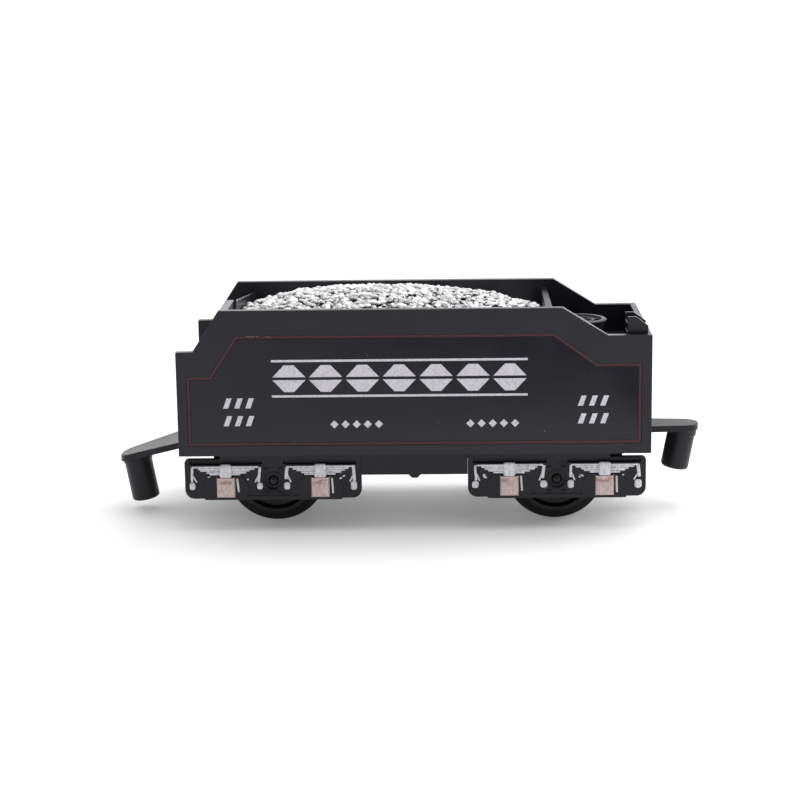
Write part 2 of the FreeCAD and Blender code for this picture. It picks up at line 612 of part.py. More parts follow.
def make_wheel(name, axle, turned):
    """Flanged wheel turned about the axle, drawn for the right side."""
    body = new_body(name)
    flange_front = "dims.wheel_back + dims.flange_thick"
    section = [
        ("dims.wheel_back", "dims.axle_radius"),
        ("dims.wheel_back", "dims.hub_radius"),
        ("dims.web_back", "dims.hub_radius"),
        ("dims.web_back", "dims.rim_inner"),
        ("dims.wheel_back", "dims.rim_inner"),
        ("dims.wheel_back", "dims.flange_edge"),
        ("dims.wheel_back + dims.flange_thick / 3", "dims.flange_radius"),
        ("dims.wheel_back + dims.flange_thick / 1.5", "dims.flange_radius"),
        (flange_front, "dims.flange_root"),
        (f"{flange_front} + dims.flange_thick / 3", "dims.tread_radius"),
        ("dims.wheel_face", "dims.tread_outer"),
        ("dims.wheel_face", "dims.rim_inner"),
        ("dims.web_front", "dims.rim_inner"),
        ("dims.web_front", "dims.hub_radius"),
        ("dims.hub_face", "dims.hub_radius"),
        ("dims.hub_face", "dims.axle_radius"),
    ]
    revolve(body, outline(body, "YZ_Plane", section), "H_Axis")
    return place(body, x=axle, z="dims.axle_height", turned=turned)


def make_axle(name, axle):
    """Straight round axle with rounded ends."""
    body = new_body(name)
    section = [
        ("0 - dims.axle_half", "0"),
        ("0 - dims.axle_half", "dims.axle_radius / 2"),
        ("dims.axle_dome - dims.axle_half", "dims.axle_radius"),
        ("dims.axle_half - dims.axle_dome", "dims.axle_radius"),
        ("dims.axle_half", "dims.axle_radius / 2"),
        ("dims.axle_half", "0"),
    ]
    revolve(body, outline(body, "YZ_Plane", section), "H_Axis")
    return place(body, x=axle, z="dims.axle_height")


def make_drawbar(name, end):
    """Flat bar with an eye at the pivot and a leaning peg at its tip, drawn towards +X from the pivot."""
    body = new_body(name)
    front = end == "front"
    tip = f"(dims.pivot_inset + dims.{end}_overhang)"
    tip_top = "dims.front_tip_top" if front else "dims.bar_top"
    bend = "dims.front_bend"
    root_half = f"dims.{end}_root_half"
    side = [
        ("0 - dims.pad_radius", "dims.bar_top - dims.bar_thick"),
        (bend, "dims.bar_top - dims.bar_thick"),
        (tip, f"{tip_top} - dims.bar_thick"),
        (tip, tip_top),
        (bend, "dims.bar_top"),
        ("0 - dims.pad_radius", "dims.bar_top"),
    ]
    pad(body, outline(body, "XZ_Plane", side), f"2 * {root_half} + 2", both_ways=True)
    left_edge = [
        ("0 - dims.pad_radius", "0 - dims.pad_radius"),
        ("dims.pad_straight", "0 - dims.pad_radius"),
        ("dims.root_at", f"0 - {root_half}"),
        (tip, "0 - dims.collar_radius - 0.1"),
    ]
    right_edge = [(x, y.replace("0 - ", "")) for x, y in reversed(left_edge)]
    around = new_sketch(body, "XY_Plane", "dims.bar_top + 1")
    margin = f"({root_half} + 3)"
    add_outline(around, rectangle("0 - dims.pad_radius - 2", f"{tip} + 2", f"0 - {margin}", margin))
    add_outline(around, left_edge + right_edge)
    pocket(body, around, "dims.bar_top")
    tip_x = value("pivot_inset") + value(f"{end}_overhang")

    def outer_corner(edge):
        box = edge.BoundBox
        return abs(box.Center.x - tip_x) < 1e-3 and box.YLength < 1e-3

    fillet(body, "dims.collar_radius", outer_corner)

    def pad_corner(edge):
        box = edge.BoundBox
        return abs(box.Center.x + value("pad_radius")) < 1e-3 and box.YLength < 1e-3

    fillet(body, "dims.pad_radius - 0.05", pad_corner)
    slope = f"({tip_top} - dims.bar_top) / ({tip} - {bend})"
    peg_top = f"{tip_top} - dims.collar_radius * {slope} - 0.5 * dims.bar_thick"
    lean = FreeCAD.Rotation(FreeCAD.Vector(0, 1, 0), 1)
    for radius, length in (("collar_radius", "collar_length"), ("peg_radius", f"{end}_peg_length")):
        round_section = circle(body, "XY_Plane", ("0", "0"), f"dims.{radius}")
        round_section.AttachmentOffset = FreeCAD.Placement(FreeCAD.Vector(0, 0, 0), lean)
        round_section.setExpression("AttachmentOffset.Base.x", f"{tip} - dims.collar_radius - 0.1")
        round_section.setExpression("AttachmentOffset.Base.z", peg_top)
        round_section.setExpression("AttachmentOffset.Rotation.Angle", f"dims.{end}_peg_lean")
        pad(body, round_section, f"dims.{length}", backwards=True)
    foot = min(edge.BoundBox.ZMin for edge in body.Shape.Edges)

    def foot_edge(edge):
        return edge.BoundBox.ZMin < foot + 0.01

    fillet(body, "dims.peg_end_round", foot_edge)
    eye = circle(body, "XY_Plane", ("0", "0"), "dims.eye_radius", "dims.bar_top + 1")
    pocket(body, eye, "dims.bar_thick + 2")
    return place(body, x=FRONT_PIVOT if front else REAR_PIVOT, turned=front)


def make_pivot_bush(name, pivot):
    """Spacer tube between the chassis and the boss; a drawbar turns on it."""
    body = new_body(name)
    section = rectangle("dims.screw_hole", "dims.bush_radius", "dims.body_bottom", "dims.boss_bottom")
    revolve(body, outline(body, "XZ_Plane", section), "V_Axis")
    return place(body, x=pivot)


def make_body_screw(name, pivot):
    """Pan-head screw from below, through the chassis and the bush into the boss."""
    body = new_body(name)
    head_bottom = f"{PLATE_BOTTOM} - dims.screw_head_height"
    shank_top = "dims.boss_bottom + dims.pilot_depth"
    section = [
        ("0", head_bottom),
        ("dims.screw_head_radius * 0.7", head_bottom),
        ("dims.screw_head_radius", f"{head_bottom} + dims.screw_head_height / 2"),
        ("dims.screw_head_radius", PLATE_BOTTOM),
        ("dims.screw_radius", PLATE_BOTTOM),
        ("dims.screw_radius", shank_top),
        ("0", shank_top),
    ]
    revolve(body, outline(body, "XZ_Plane", section), "V_Axis")
    return place(body, x=pivot)


def make_parts():
    """Every sub-part of the tender."""
    parts = [make_body_shell(), make_coal_load(), make_filler_hatch(), make_rear_ladder(), make_chassis()]
    for truck, axle, inboard in (("front", "dims.front_axle_x", 1), ("rear", "dims.rear_axle_x", -1)):
        parts.append(make_side_frame(f"truck_frame_{truck}_left", axle, inboard, turned=False))
        parts.append(make_side_frame(f"truck_frame_{truck}_right", axle, -inboard, turned=True))
        parts.append(make_axle(f"{truck}_axle", axle))
        parts.append(make_wheel(f"wheel_{truck}_left", axle, turned=True))
        parts.append(make_wheel(f"wheel_{truck}_right", axle, turned=False))
    for end, pivot in (("front", FRONT_PIVOT), ("rear", REAR_PIVOT)):
        parts.append(make_drawbar(f"{end}_drawbar", end))
        parts.append(make_pivot_bush(f"{end}_pivot_bush", pivot))
        parts.append(make_body_screw(f"{end}_body_screw", pivot))
    return parts


def check_and_write(parts):
    """Stops on any failed object or bad shape, then writes one STEP file for each sub-part."""
    doc.recompute()
    for item in doc.Objects:
        if "Invalid" in item.State or "Error" in item.State:
            raise RuntimeError(f"{item.Name} failed: {item.State}")
    os.makedirs("parts", exist_ok=True)
    for part in parts:
        if part.Shape.isNull() or not part.Shape.isValid() or len(part.Shape.Solids) != 1:
            raise RuntimeError(f"{part.Label} has a bad shape")
        part.Shape.exportStep(os.path.join("parts", part.Label + ".step"))
        box = part.Shape.BoundBox
        sides = (box.XMin, box.XMax, box.YMin, box.YMax, box.ZMin, box.ZMax)
        size = " ".join(f"{number:7.2f}" for number in sides)
        print(f"{part.Label:26s} {size}  volume {part.Shape.Volume:9.1f}")


check_and_write(make_parts())
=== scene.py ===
import json
import math

import bmesh
import bpy
import numpy as np
from mathutils import Matrix, Vector

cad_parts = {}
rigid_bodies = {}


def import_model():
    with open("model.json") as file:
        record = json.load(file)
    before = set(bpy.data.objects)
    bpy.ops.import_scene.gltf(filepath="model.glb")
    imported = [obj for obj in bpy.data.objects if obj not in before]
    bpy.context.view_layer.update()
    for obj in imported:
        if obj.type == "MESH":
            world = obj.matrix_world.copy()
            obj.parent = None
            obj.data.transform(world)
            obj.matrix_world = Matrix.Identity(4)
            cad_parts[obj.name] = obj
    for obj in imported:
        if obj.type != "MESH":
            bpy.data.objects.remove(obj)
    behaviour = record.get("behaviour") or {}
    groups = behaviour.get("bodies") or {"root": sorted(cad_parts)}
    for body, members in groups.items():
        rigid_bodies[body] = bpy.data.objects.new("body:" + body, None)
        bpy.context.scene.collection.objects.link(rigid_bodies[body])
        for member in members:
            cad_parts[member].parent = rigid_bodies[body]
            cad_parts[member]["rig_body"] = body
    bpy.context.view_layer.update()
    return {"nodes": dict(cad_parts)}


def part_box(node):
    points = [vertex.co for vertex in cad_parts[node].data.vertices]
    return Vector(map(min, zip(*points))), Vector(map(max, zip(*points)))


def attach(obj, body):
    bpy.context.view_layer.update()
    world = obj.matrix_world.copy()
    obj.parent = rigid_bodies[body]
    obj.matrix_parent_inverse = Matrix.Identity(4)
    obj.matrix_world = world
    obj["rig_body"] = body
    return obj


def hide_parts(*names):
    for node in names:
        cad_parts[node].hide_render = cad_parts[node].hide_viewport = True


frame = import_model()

MM = 0.001
TRUCKS = ("front", "rear")
SIDES = {"left": -1, "right": 1}


# ---------------------------------------------------------------- places read from the frame


def box_mm(node):
    """Lowest and highest corner of a CAD node in millimetres, as two arrays."""
    low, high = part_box(node)
    return np.array(low) / MM, np.array(high) / MM


body_low, body_high = box_mm("body_shell")
FRONT, REAR = body_low[0], body_high[0]
SIDE_Y = body_high[1]

# From the middle plane to a truck frame's painted face, and from an axle to the axle boxes beside it.
FRAME_FACE = 22.6
BOX_REACH = 11.6


def axle_centre(truck):
    """Middle of an axle."""
    low, high = box_mm(f"{truck}_axle")
    return (low + high) / 2


def box_places(truck):
    """Places along the tender of a truck's two axle boxes."""
    middle = axle_centre(truck)[0]
    return middle - BOX_REACH, middle + BOX_REACH


# ---------------------------------------------------------------- shader maths


class Link:
    """One output of a node. Arithmetic on it adds Math nodes to its material."""

    def __init__(self, finish, socket):
        self.finish = finish
        self.socket = socket

    def math(self, operation, *terms):
        sockets = dict(enumerate(terms))
        return self.finish.node("ShaderNodeMath", {"operation": operation}, sockets)

    def __add__(self, other):
        return self.math("ADD", self, other)

    def __radd__(self, other):
        return self.math("ADD", other, self)

    def __sub__(self, other):
        return self.math("SUBTRACT", self, other)

    def __rsub__(self, other):
        return self.math("SUBTRACT", other, self)

    def __mul__(self, other):
        return self.math("MULTIPLY", self, other)

    def __rmul__(self, other):
        return self.math("MULTIPLY", other, self)

    def above(self, low, high):
        """0 under low, 1 over high and a straight ramp between."""
        settings = {"clamp": True}
        sockets = {"Value": self, "From Min": low, "From Max": high}
        return self.finish.node("ShaderNodeMapRange", settings, sockets)


class Finish:
    """A material being made: a Principled shader and the nodes that feed it."""

    def __init__(self, name, constants=None):
        self.material = bpy.data.materials.new(name)
        self.material.use_nodes = True
        self.tree = self.material.node_tree
        self.shader = self.tree.nodes["Principled BSDF"]
        for socket, value in (constants or {}).items():
            self.shader.inputs[socket].default_value = value
        self.place = self.node("ShaderNodeTexCoord", out="Object")

    def node(self, kind, settings=None, sockets=None, out=0):
        """Adds a node, makes its settings, then sets or links its sockets, and returns one output."""
        made = self.tree.nodes.new(kind)
        for name, value in (settings or {}).items():
            setattr(made, name, value)
        for name, value in (sockets or {}).items():
            if isinstance(value, Link):
                self.tree.links.new(value.socket, made.inputs[name])
            else:
                made.inputs[name].default_value = value
        return Link(self, made.outputs[out])

    def noise(self, size, detail=2.0, rough=0.5, stretch=(1, 1, 1)):
        """Cloudy pattern whose features are about size millimetres across."""
        where = self.node("ShaderNodeVectorMath", {"operation": "MULTIPLY"}, {0: self.place, 1: stretch})
        sockets = {"Vector": where, "Scale": 1 / (size * MM), "Detail": detail, "Roughness": rough}
        return self.node("ShaderNodeTexNoise", {}, sockets)

    def cells(self, size):
        """Distance to the nearest of points scattered about size millimetres apart, in that unit."""
        return self.node("ShaderNodeTexVoronoi", {}, {"Vector": self.place, "Scale": 1 / (size * MM)})

    def specks(self, spacing, radius):
        """1 inside small dots scattered about spacing millimetres apart, 0 outside."""
        return 1 - self.cells(spacing).above(radius / spacing * 0.6, radius / spacing)

    def blend(self, amount, first, second):
        """Colour between first and second."""
        first, second = [value if isinstance(value, Link) else (*value, 1) for value in (first, second)]
        return self.node("ShaderNodeMix", {"data_type": "RGBA"}, {0: amount, 6: first, 7: second}, 2)

    def facing(self, axis):
        """How far the surface faces along an axis, from -1 to 1."""
        normal = self.node("ShaderNodeNewGeometry", out="True Normal")
        return self.node("ShaderNodeSeparateXYZ", {}, {0: normal}, axis)

    def done(self, colour=None, roughness=None, metallic=None, bump=None, depth=0.1):
        """Connects what changes over the surface; bump is a height with depth in millimetres."""
        fed = {"Base Color": colour, "Roughness": roughness, "Metallic": metallic}
        if bump is not None:
            sockets = {"Height": bump, "Distance": depth * MM, "Strength": 1.0}
            fed["Normal"] = self.node("ShaderNodeBump", {}, sockets)
        for name, link in fed.items():
            if link is not None:
                self.tree.links.new(link.socket, self.shader.inputs[name])
        return self.material


# ---------------------------------------------------------------- finishes


def satin_plastic(name, base, dust, roughness, grain, ior):
    """Moulded plastic: a fine grain, a cloudy sheen, faint rub marks and a few pale specks of dust."""
    paint = Finish(name, {"IOR": ior})
    cloud = paint.noise(9.0, detail=3.0)
    fine = paint.noise(0.22, detail=2.0, rough=0.6)
    rubs = paint.noise(1.6, detail=4.0, rough=0.7, stretch=(0.25, 1, 2.5)).above(0.60, 0.75)
    specks = paint.specks(spacing=4.5, radius=0.16)
    lighter = [min(1.0, channel * 1.35 + 0.004) for channel in base]
    colour = paint.blend(cloud.above(0.35, 0.7) * 0.6 + rubs * 0.25, base, lighter)
    colour = paint.blend(specks * 0.55, colour, dust)
    rough = roughness + (cloud - 0.5) * 0.16 + rubs * 0.08 + (fine - 0.5) * 0.10
    return paint.done(colour, rough, bump=fine * 0.7 + cloud * 0.3, depth=grain)


def coal_paint_and_light():
    """Silver paint over black lumps, with painted light: silver where a surface faces up or sideways as a
    painted highlight, black where it faces down as painted shade.
    """
    paint = Finish("silver_coal_painted_light", {"IOR": 1.5})
    tint = paint.node("ShaderNodeAttribute", {"attribute_name": "lump_tint"}, out="Fac")
    upward = paint.facing("Z")
    cloud = paint.noise(1.1, detail=3.0)
    fine = paint.noise(0.25, detail=3.0, rough=0.65)
    # Painted light: the facing sets how much silver shows, lit on top and shaded underneath.
    silver_and_painted_light = (upward + (cloud - 0.5) * 1.3 + tint * 0.7 + 0.25).above(0.0, 0.55)
    silver = paint.blend(tint.above(0.0, 0.9), (0.60, 0.595, 0.605), (0.93, 0.925, 0.93))
    colour = paint.blend(silver_and_painted_light, (0.012, 0.012, 0.013), silver)
    rough = 0.62 - silver_and_painted_light * 0.24 + (fine - 0.5) * 0.3
    return paint.done(colour, rough, silver_and_painted_light * 0.35, bump=fine + cloud * 0.6, depth=0.10)


def brushed_paint(name, base, thin, roughness, metallic, painted_shade_band=None):
    """Hand-brushed metallic paint on plastic: streaks, thin places where the black shows, tiny flakes.

    Its last argument, when given, is painted shade: a darker colour in a patchy band between two heights in
    millimetres: (colour, low, high)."""
    paint = Finish(name, {"IOR": 1.5})
    streak = paint.noise(0.55, detail=4.0, rough=0.65, stretch=(1, 1, 0.45))
    flakes = paint.noise(0.10, detail=1.0)
    bare = paint.noise(0.9, detail=3.0, rough=0.6).above(0.66, 0.80)
    darker = [channel * 0.68 for channel in base]
    colour = paint.blend(streak.above(0.36, 0.62), darker, base)
    colour = paint.blend(bare * 0.8, colour, thin)
    # Painted shade in the hollow under a lid: a darker patchy band between two heights.
    if painted_shade_band is not None:
        shade, low, high = painted_shade_band
        height = paint.node("ShaderNodeSeparateXYZ", {}, {0: paint.place}, "Z")
        edge = 0.4 * MM
        band = height.above(low * MM, low * MM + edge) * (1 - height.above(high * MM - edge, high * MM))
        patch = paint.noise(1.5, detail=2.0).above(0.38, 0.58)
        colour = paint.blend(band * patch * 0.75, colour, shade)
    rough = roughness + (streak - 0.5) * 0.3 + (flakes - 0.5) * 0.2
    return paint.done(colour, rough, metallic - bare * metallic, bump=streak + flakes * 0.4, depth=0.09)


def turned_steel(name, base, worn, roughness):
    """Drawn steel: fine rings round the axle and a little wear."""
    paint = Finish(name)
    rings = paint.noise(0.35, detail=3.0, rough=0.7, stretch=(0.15, 3.0, 0.15))
    cloud = paint.noise(2.5, detail=3.0)
    colour = paint.blend(cloud.above(0.4, 0.75) * 0.7 + rings * 0.3, base, worn)
    rough = roughness + (rings - 0.5) * 0.25 + (cloud - 0.5) * 0.15
    return paint.done(colour, rough, 0.85 + cloud * 0.15, bump=rings, depth=0.02)


def groove_paint():
    """Thin dark red line paint that has run unevenly in its groove."""
    paint = Finish("groove_red", {"IOR": 1.5})
    run = paint.noise(2.2, detail=4.0, rough=0.65)
    fine = paint.noise(0.3, detail=2.0)
    colour = paint.blend(run.above(0.34, 0.60), (0.026, 0.007, 0.009), (0.066, 0.011, 0.015))
    return paint.done(colour, 0.48 + (run - 0.5) * 0.3, bump=fine, depth=0.03)


def printed_ink():
    """Pad-printed pale ink with a slightly starved, dotted surface."""
    paint = Finish("pale_print", {"IOR": 1.45})
    starve = paint.noise(0.35, detail=3.0, rough=0.7)
    cloud = paint.noise(3.0, detail=2.0)
    colour = paint.blend(starve.above(0.30, 0.52), (0.42, 0.40, 0.44), (0.70, 0.68, 0.73))
    colour = paint.blend(cloud.above(0.5, 0.8) * 0.3, colour, (0.78, 0.76, 0.80))
    return paint.done(colour, 0.5 + (starve - 0.5) * 0.3, bump=starve, depth=0.01)


def floor_card():
    """Pale matt card."""
    paint = Finish("pale_card", {"IOR": 1.4, "Emission Color": (1, 1, 1, 1), "Emission Strength": 0.13})
    cloud = paint.noise(60.0, detail=2.0)
    tooth = paint.noise(0.8, detail=2.0)
    colour = paint.blend(cloud, (0.92, 0.92, 0.93), (0.96, 0.96, 0.97))
    return paint.done(colour, 0.55 + (tooth - 0.5) * 0.1, bump=tooth, depth=0.02)


BODY_PLASTIC = satin_plastic(
    "satin_black_body", (0.0064, 0.0054, 0.0110), (0.30, 0.30, 0.31), roughness=0.32, grain=0.018, ior=1.42
)
FRAME_PLASTIC = satin_plastic(
    "satin_black_frames", (0.0048, 0.0042, 0.0080), (0.22, 0.22, 0.23), roughness=0.38, grain=0.020, ior=1.38
)
WHEEL_PLASTIC = satin_plastic(
    "smooth_black_wheels", (0.0036, 0.0034, 0.0052), (0.20, 0.20, 0.20), roughness=0.33, grain=0.008, ior=1.33
)
SCUFFED_PLASTIC = satin_plastic(
    "scuffed_plastic", (0.15, 0.115, 0.10), (0.30, 0.26, 0.24), roughness=0.50, grain=0.015, ior=1.45
)
COAL = coal_paint_and_light()
SILVER = brushed_paint(
    "silver_brushed_springs", (0.76, 0.75, 0.78), (0.05, 0.05, 0.055), roughness=0.46, metallic=0.25
)
COPPER = brushed_paint(
    "copper_brushed_boxes",
    (0.66, 0.53, 0.51),
    (0.14, 0.09, 0.09),
    roughness=0.42,
    metallic=0.35,
    # The darker band between these heights is painted shade under the box lids.
    painted_shade_band=((0.30, 0.15, 0.12), 11.9, 13.3),
)
AXLE_STEEL = turned_steel("blackened_axle_steel", (0.014, 0.014, 0.015), (0.05, 0.05, 0.05), roughness=0.30)
SCREW_STEEL = turned_steel("zinc_screw_steel", (0.48, 0.48, 0.50), (0.62, 0.61, 0.58), roughness=0.30)
RED = groove_paint()
INK = printed_ink()


# ---------------------------------------------------------------- mesh helpers


def piece(name, points, faces, body, slot, material, sharp=35.0, replaces=()):
    """A finished mesh from points in millimetres, riding on a body; it stands for any CAD nodes named."""
    mesh = bpy.data.meshes.new(name)
    mesh.from_pydata((np.asarray(points, float) * MM).tolist(), [], faces)
    work = bmesh.new()
    work.from_mesh(mesh)
    bmesh.ops.recalc_face_normals(work, faces=work.faces)
    work.to_mesh(mesh)
    work.free()
    mesh.materials.append(material)
    mesh.shade_smooth()
    mesh.set_sharp_from_angle(angle=math.radians(sharp))
    made = bpy.data.objects.new(name, mesh)
    bpy.context.scene.collection.objects.link(made)
    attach(made, body)
    if replaces:
        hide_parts(*replaces)
    return made


def joined(parts):
    """Several (points, faces) as one."""
    points, faces, start = [], [], 0
    for part_points, part_faces in parts:
        points.append(part_points)
        faces += [tuple(int(i) + start for i in face) for face in part_faces]
        start += len(part_points)
    return np.concatenate(points), faces


def grid_faces(rows, columns, close_rows=False, close_columns=True):
    """Quads of a grid stored row by row, with the last row or column joined to the first if closed."""
    r = np.arange(rows if close_rows else rows - 1)
    c = np.arange(columns if close_columns else columns - 1)
    r, c = [a.ravel() for a in np.meshgrid(r, c, indexing="ij")]
    up, across = (r + 1) % rows, (c + 1) % columns
    quads = np.stack([r * columns + c, r * columns + across, up * columns + across, up * columns + c], 1)
    return quads.tolist()


def grid_edge(rows, columns):
    """Indices of a grid's outer points in order round its edge."""
    return np.concatenate(
        [
            np.arange(columns),
            np.arange(1, rows) * columns + columns - 1,
            (rows - 1) * columns + np.arange(columns - 2, -1, -1),
            np.arange(rows - 2, 0, -1) * columns,
        ]
    )


def carried_round(profile, steps):
    """Points (distance along the axle, radius) of a profile, carried round a circle about Y, row by row."""
    profile = np.asarray(profile, float)
    turn = np.linspace(0, 2 * np.pi, steps, endpoint=False)
    ring = np.stack([np.cos(turn), np.zeros(steps), np.sin(turn)], 1)
    points = profile[:, None, 1:2] * ring + profile[:, None, 0:1] * np.array([0, 1, 0])
    return points.reshape(-1, 3)


def turned(profile, steps=72):
    """Solid of revolution about Y from an open profile, with a flat face at each end."""
    rows = len(profile)
    first = list(range(steps))[::-1]
    last = [(rows - 1) * steps + i for i in range(steps)]
    return carried_round(profile, steps), grid_faces(rows, steps) + [first, last]


def turned_ring(profile, steps=72):
    """Ring about Y from a closed profile that keeps clear of the axle."""
    return carried_round(profile, steps), grid_faces(len(profile), steps, close_rows=True)


def soft_corners(corners, radius, closed=True):
    """An outline whose corners become short quadratic curves that start radius away from the corner."""
    corners = np.asarray(corners, float)
    count = len(corners)
    t = np.linspace(0, 1, 4)[:, None]
    out = []
    for i in range(count):
        if not closed and i in (0, count - 1):
            out.append(corners[i][None])
            continue
        before, here, after = corners[i - 1], corners[i], corners[(i + 1) % count]
        back, on = before - here, after - here
        reach = min(radius, 0.45 * np.linalg.norm(back), 0.45 * np.linalg.norm(on))
        start = here + back / np.linalg.norm(back) * reach
        end = here + on / np.linalg.norm(on) * reach
        out.append((1 - t) ** 2 * start + 2 * t * (1 - t) * here + t**2 * end)
    return np.concatenate(out)


def rounded_block(centre, half, radius, steps=3):
    """Box with rounded edges: points of a small sphere pushed out to their octant's corner of the box."""
    quarter = (np.arange(steps) + 0.5) / steps * np.pi / 2
    polar = np.concatenate([quarter, quarter + np.pi / 2])
    around = np.concatenate([quarter + k * np.pi / 2 for k in range(4)])
    p, a = np.meshgrid(polar, around, indexing="ij")
    unit = np.stack([np.sin(p) * np.cos(a), np.sin(p) * np.sin(a), np.cos(p)], 2).reshape(-1, 3)
    inner = np.maximum(np.asarray(half, float) - radius, 0)
    points = np.sign(unit) * inner + unit * np.minimum(radius, half)
    columns = 4 * steps
    faces = [tuple(reversed(face)) for face in grid_faces(2 * steps, columns)]
    top = list(range(columns))
    bottom = [(2 * steps - 1) * columns + i for i in range(columns)][::-1]
    return points + np.asarray(centre, float), faces + [top, bottom]


def leaning_block(centre, half, lean):
    """Rounded block turned by an angle in the (x, z) plane."""
    points, faces = rounded_block((0, 0, 0), half, min(half[0], half[1]) * 0.7)
    turn = np.array(Matrix.Rotation(lean, 3, "Y"))
    return points @ turn.T + np.asarray(centre, float), faces


def plate(outline, front, back):
    """Flat plate from an outline of (x, z) corners, counter-clockwise seen from -Y, between two y planes."""
    outline = np.asarray(outline, float)
    count = len(outline)
    rings = [np.stack([outline[:, 0], np.full(count, y), outline[:, 1]], 1) for y in (front, back)]
    faces = [tuple(range(count)), tuple(range(2 * count - 1, count - 1, -1))]
    faces += [(i, count + i, count + (i + 1) % count, (i + 1) % count) for i in range(count)]
    return np.concatenate(rings), faces


def mirrored(points, faces, side):
    """The part as drawn on the left side, or mirrored in y with its faces turned over for the right side."""
    if side < 0:
        return points, faces
    return points * np.array([1, -1, 1]), [tuple(reversed(face)) for face in faces]


def softened(node, name, width, material):
    """Copy of a CAD node with merged points and edges rounded by a bevel of the given width."""
    source = frame["nodes"][node]
    mesh = source.data.copy()
    mesh.name = name
    work = bmesh.new()
    work.from_mesh(mesh)
    bmesh.ops.remove_doubles(work, verts=work.verts, dist=0.002 * MM)
    bmesh.ops.dissolve_limit(
        work, angle_limit=math.radians(0.5), verts=work.verts, edges=work.edges, delimit={"NORMAL"}
    )
    work.to_mesh(mesh)
    work.free()
    mesh.materials.clear()
    mesh.materials.append(material)
    made = bpy.data.objects.new(name, mesh)
    bpy.context.scene.collection.objects.link(made)
    bevel = made.modifiers.new("soft_edges", "BEVEL")
    bevel.width = width * MM
    bevel.segments = 2
    bevel.limit_method = "ANGLE"
    bevel.angle_limit = math.radians(30)
    bevel.use_clamp_overlap = True
    bevel.harden_normals = True
    mesh.shade_smooth()
    mesh.set_sharp_from_angle(angle=math.radians(35))
    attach(made, source["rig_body"])
    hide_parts(node)
    return made


def dress(node, material):
    """Gives a CAD node its finish."""
    data = frame["nodes"][node].data
    data.materials.clear()
    data.materials.append(material)


# ---------------------------------------------------------------- body


def side_panel_outline(grow):
    """The side panel's outline in (x, z), moved outwards by grow with mitred corners."""
    end, bottom, top = 2.85, 22.2, 48.6
    front_shoulder, rear_shoulder = 38.6, 41.1
    front_step, front_ramp = FRONT + 8.2, FRONT + 14.8
    rear_ramp, rear_step = FRONT + 91.4, FRONT + 101.8
    front_mitre = math.tan(math.atan2(top - front_shoulder, front_ramp - front_step) / 2)
    rear_mitre = math.tan(math.atan2(top - rear_shoulder, rear_step - rear_ramp) / 2)
    return np.array(
        [
            (FRONT + end - grow, bottom - grow),
            (REAR - end + grow, bottom - grow),
            (REAR - end + grow, rear_shoulder + grow),
            (rear_step + grow * rear_mitre, rear_shoulder + grow),
            (rear_ramp + grow * rear_mitre, top + grow),
            (front_ramp - grow * front_mitre, top + grow),
            (front_step - grow * front_mitre, front_shoulder + grow),
            (FRONT + end - grow, front_shoulder + grow),
        ]
    )


def make_red_line(side):
    """Paint low in the panel groove: a flat closed ribbon along the outline moved in and out, set a little
    lower so the black body above it shows as painted shadow under the groove's upper edge.
    """
    half, floor, surface = 0.31, SIDE_Y - 0.30, SIDE_Y - 0.19
    # The ribbon is dropped 0.12 mm to leave a black strip above it as painted shadow.
    shadow_drop = 0.12
    rings = [(half, floor), (half, surface), (-half, surface), (-half, floor)]
    points = [
        np.stack([o[:, 0], np.full(len(o), -y), o[:, 1] - shadow_drop], 1)
        for o, y in ((side_panel_outline(grow), y) for grow, y in rings)
    ]
    faces = grid_faces(4, 8, close_rows=True)
    part = mirrored(np.concatenate(points), faces, SIDES[side])
    piece(f"red_line_{side}", *part, "tender", "red_line", RED, sharp=30)


def lozenge(x, z, half):
    """Lozenge as wide as it is high, counter-clockwise seen from the left side."""
    return [(x - half, z), (x, z - half), (x + half, z), (x, z + half)]


def half_lozenge(x, z, upward):
    """Upper or lower half of a long lozenge with its point cut off, counter-clockwise from the left side."""
    split, reach = 0.35, 3.3
    corners = [
        (x - 4.0, z + upward * split),
        (x + 4.0, z + upward * split),
        (x + 1.2, z + upward * reach),
        (x - 1.2, z + upward * reach),
    ]
    return corners[::upward]


def bar(x, z, half_long, half_high, slant=0.0):
    """Bar whose ends lean over by the slant, counter-clockwise seen from the left side."""
    return [
        (x - half_long - slant, z - half_high),
        (x + half_long - slant, z - half_high),
        (x + half_long + slant, z + half_high),
        (x - half_long + slant, z + half_high),
    ]


def make_print(side):
    """Printed ornament: a row of split lozenges between two rules, slanted bars and small lozenges."""
    front, back = -SIDE_Y - 0.03, -SIDE_Y + 0.05
    middle_x, middle_z = FRONT + 54.1, 38.4
    count, pitch = 7, 8.9
    shapes = []
    for i in range(count):
        x = middle_x + (i - (count - 1) / 2) * pitch
        shapes += [half_lozenge(x, middle_z, upward) for upward in (-1, 1)]
    rule = count * pitch / 2 - 0.2
    shapes += [bar(middle_x, middle_z + upward * 4.35, rule, 0.28) for upward in (-1, 1)]
    for x in (FRONT + 15.0, FRONT + 100.9):
        for z in (32.4, 28.0):
            shapes += [bar(x + step, z, 0.62, 1.25, 0.45) for step in (-2.7, 0, 2.7)]
    for x in (FRONT + 43.6, FRONT + 76.6):
        shapes += [lozenge(x + step, 27.0, 1.0) for step in (-5.4, -2.7, 0, 2.7, 5.4)]
    part = mirrored(*joined(plate(shape, front, back) for shape in shapes), SIDES[side])
    piece(f"printed_marks_{side}", *part, "tender", "print_ink", INK, sharp=30)


